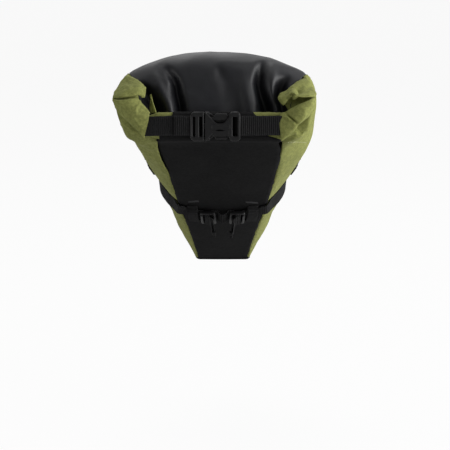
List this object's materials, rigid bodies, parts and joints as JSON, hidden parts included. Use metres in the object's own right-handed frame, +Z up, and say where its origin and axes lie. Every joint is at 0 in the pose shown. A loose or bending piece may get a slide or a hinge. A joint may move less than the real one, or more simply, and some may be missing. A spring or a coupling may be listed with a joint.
{
  "type": "saddle bag",
  "caption": "Wedge-shaped roll-top saddle bag that hangs from the saddle rails and straps round a leant seatpost.",
  "frame": {"origin": "centre of the seatpost strap, on the seatpost's axis", "axes": "+Z up, +Y towards the front of the bicycle, +X to the rider's right; the seatpost leans 17 degrees back, towards -Y"},
  "size_m": [0.1623, 0.2498, 0.1995],
  "materials": {
    "green_fabric": "olive green coated woven fabric",
    "coated_fabric": "black coated fabric with a soft sheen",
    "base_fabric": "matt black hard-wearing fabric",
    "lining": "grey waterproof lining",
    "webbing": "black woven webbing",
    "plastic": "moulded black plastic with a slight shine",
    "stiffener": "plain plastic sheet",
    "grip_rubber": "matt textured rubber"
  },
  "bodies": {
    "bag": {"side_panel_left": "green_fabric", "side_panel_right": "green_fabric", "top_panel": "coated_fabric", "nose_panel": "base_fabric", "nose_cap": "base_fabric", "base_panel": "base_fabric", "side_stiffener_left": "stiffener", "side_stiffener_right": "stiffener", "nose_stiffener": "stiffener", "base_stiffener": "stiffener", "lining_left": "lining", "lining_right": "lining", "lining_top": "lining", "lining_base": "lining", "seatpost_pad": "grip_rubber", "seatpost_strap": "webbing", "seatpost_strap_loop": "webbing", "seatpost_ring": "plastic", "rail_loop_left": "webbing", "rail_loop_right": "webbing", "rail_strap_left": "webbing", "rail_strap_right": "webbing", "rail_anchor_left": "webbing", "rail_anchor_right": "webbing", "rail_buckle_socket_left": "plastic", "rail_buckle_socket_right": "plastic", "compression_strap_left": "webbing", "compression_strap_right": "webbing", "strap_keeper_left": "webbing", "strap_keeper_right": "webbing", "light_loop": "webbing", "strap_tail_left": "webbing", "strap_tail_right": "webbing"},
    "roll": {"roll_core": "green_fabric", "mouth_stiffener": "stiffener", "roll_end_left": "green_fabric", "roll_end_right": "green_fabric", "closure_webbing_left": "webbing", "closure_webbing_right": "webbing", "closure_buckle_socket": "plastic"},
    "closure_plug": {"closure_buckle_plug": "plastic"},
    "closure_prong_upper": {"closure_prong_upper": "plastic"},
    "closure_prong_lower": {"closure_prong_lower": "plastic"},
    "rail_plug_left": {"rail_buckle_plug_left": "plastic"},
    "rail_plug_right": {"rail_buckle_plug_right": "plastic"},
    "rail_prong_left_front": {"rail_prong_left_front": "plastic"},
    "rail_prong_left_rear": {"rail_prong_left_rear": "plastic"},
    "rail_prong_right_front": {"rail_prong_right_front": "plastic"},
    "rail_prong_right_rear": {"rail_prong_right_rear": "plastic"},
    "ladder_lock_left": {"ladder_lock_left": "plastic"},
    "ladder_lock_right": {"ladder_lock_right": "plastic"},
    "strap_tab": {"seatpost_strap_tab": "webbing"}
  },
  "joints": [
    {"name": "roll_unroll", "type": "hinge", "parent": "bag", "child": "roll", "pos_m": [0, -0.2115, 0.103], "axis": [1, 0, 0], "range_deg": [0, 80]},
    {"name": "closure_plug_pull", "type": "slide", "parent": "roll", "child": "closure_plug", "axis": [-1, 0, 0], "range_m": [0, 0.018], "deforming": ["closure_webbing_left", "closure_prong_upper", "closure_prong_lower"]},
    {"name": "closure_prong_upper_squeeze", "type": "hinge", "parent": "closure_plug", "child": "closure_prong_upper", "pos_m": [-0.014, -0.2203, 0.1171], "axis": [0, 1, 0], "range_deg": [0, 6.5], "stiffness_Nm_per_rad": 0.05},
    {"name": "closure_prong_lower_squeeze", "type": "hinge", "parent": "closure_plug", "child": "closure_prong_lower", "pos_m": [-0.014, -0.2203, 0.1049], "axis": [0, -1, 0], "range_deg": [0, 6.5], "stiffness_Nm_per_rad": 0.05},
    {"name": "rail_plug_left_pull", "type": "slide", "parent": "bag", "child": "rail_plug_left", "axis": [0.5246, 0.2765, 0.8052], "range_m": [0, 0.018], "deforming": ["rail_strap_left", "rail_prong_left_front", "rail_prong_left_rear"]},
    {"name": "rail_prong_left_front_squeeze", "type": "hinge", "parent": "rail_plug_left", "child": "rail_prong_left_front", "pos_m": [-0.05625, -0.07487, 0.10719], "axis": [-0.8243, 0.4016, 0.3991], "range_deg": [0, 6.5], "stiffness_Nm_per_rad": 0.05},
    {"name": "rail_prong_left_rear_squeeze", "type": "hinge", "parent": "rail_plug_left", "child": "rail_prong_left_rear", "pos_m": [-0.05885, -0.08552, 0.11254], "axis": [0.8243, -0.4016, -0.3991], "range_deg": [0, 6.5], "stiffness_Nm_per_rad": 0.05},
    {"name": "rail_plug_right_pull", "type": "slide", "parent": "bag", "child": "rail_plug_right", "axis": [-0.5246, 0.2765, 0.8052], "range_m": [0, 0.018], "deforming": ["rail_strap_right", "rail_prong_right_front", "rail_prong_right_rear"]},
    {"name": "rail_prong_right_front_squeeze", "type": "hinge", "parent": "rail_plug_right", "child": "rail_prong_right_front", "pos_m": [0.05625, -0.07487, 0.10719], "axis": [-0.8243, -0.4016, -0.3991], "range_deg": [0, 6.5], "stiffness_Nm_per_rad": 0.05},
    {"name": "rail_prong_right_rear_squeeze", "type": "hinge", "parent": "rail_plug_right", "child": "rail_prong_right_rear", "pos_m": [0.05885, -0.08552, 0.11254], "axis": [0.8243, 0.4016, 0.3991], "range_deg": [0, 6.5], "stiffness_Nm_per_rad": 0.05},
    {"name": "ladder_lock_left_tilt", "type": "hinge", "parent": "bag", "child": "ladder_lock_left", "pos_m": [-0.00739, -0.11391, 0.02047], "axis": [-0.0548, -0.8038, 0.5924], "range_deg": [0, 25], "deforming": ["compression_strap_left", "strap_tail_left", "light_loop"]},
    {"name": "ladder_lock_right_tilt", "type": "hinge", "parent": "bag", "child": "ladder_lock_right", "pos_m": [0.00739, -0.11391, 0.02047], "axis": [-0.0548, 0.8038, -0.5924], "range_deg": [0, 25], "deforming": ["compression_strap_right", "strap_tail_right", "light_loop"]},
    {"name": "strap_tab_peel", "type": "hinge", "parent": "bag", "child": "strap_tab", "pos_m": [-0.0224, -0.00602, -0.00184], "axis": [0, -0.2924, 0.9563], "range_deg": [0, 60]}
  ],
  "couplings": [
    {"joint": "closure_prong_lower_squeeze", "follows": "closure_prong_upper_squeeze", "ratio": 1},
    {"joint": "rail_prong_left_rear_squeeze", "follows": "rail_prong_left_front_squeeze", "ratio": 1},
    {"joint": "rail_prong_right_rear_squeeze", "follows": "rail_prong_right_front_squeeze", "ratio": 1}
  ]
}
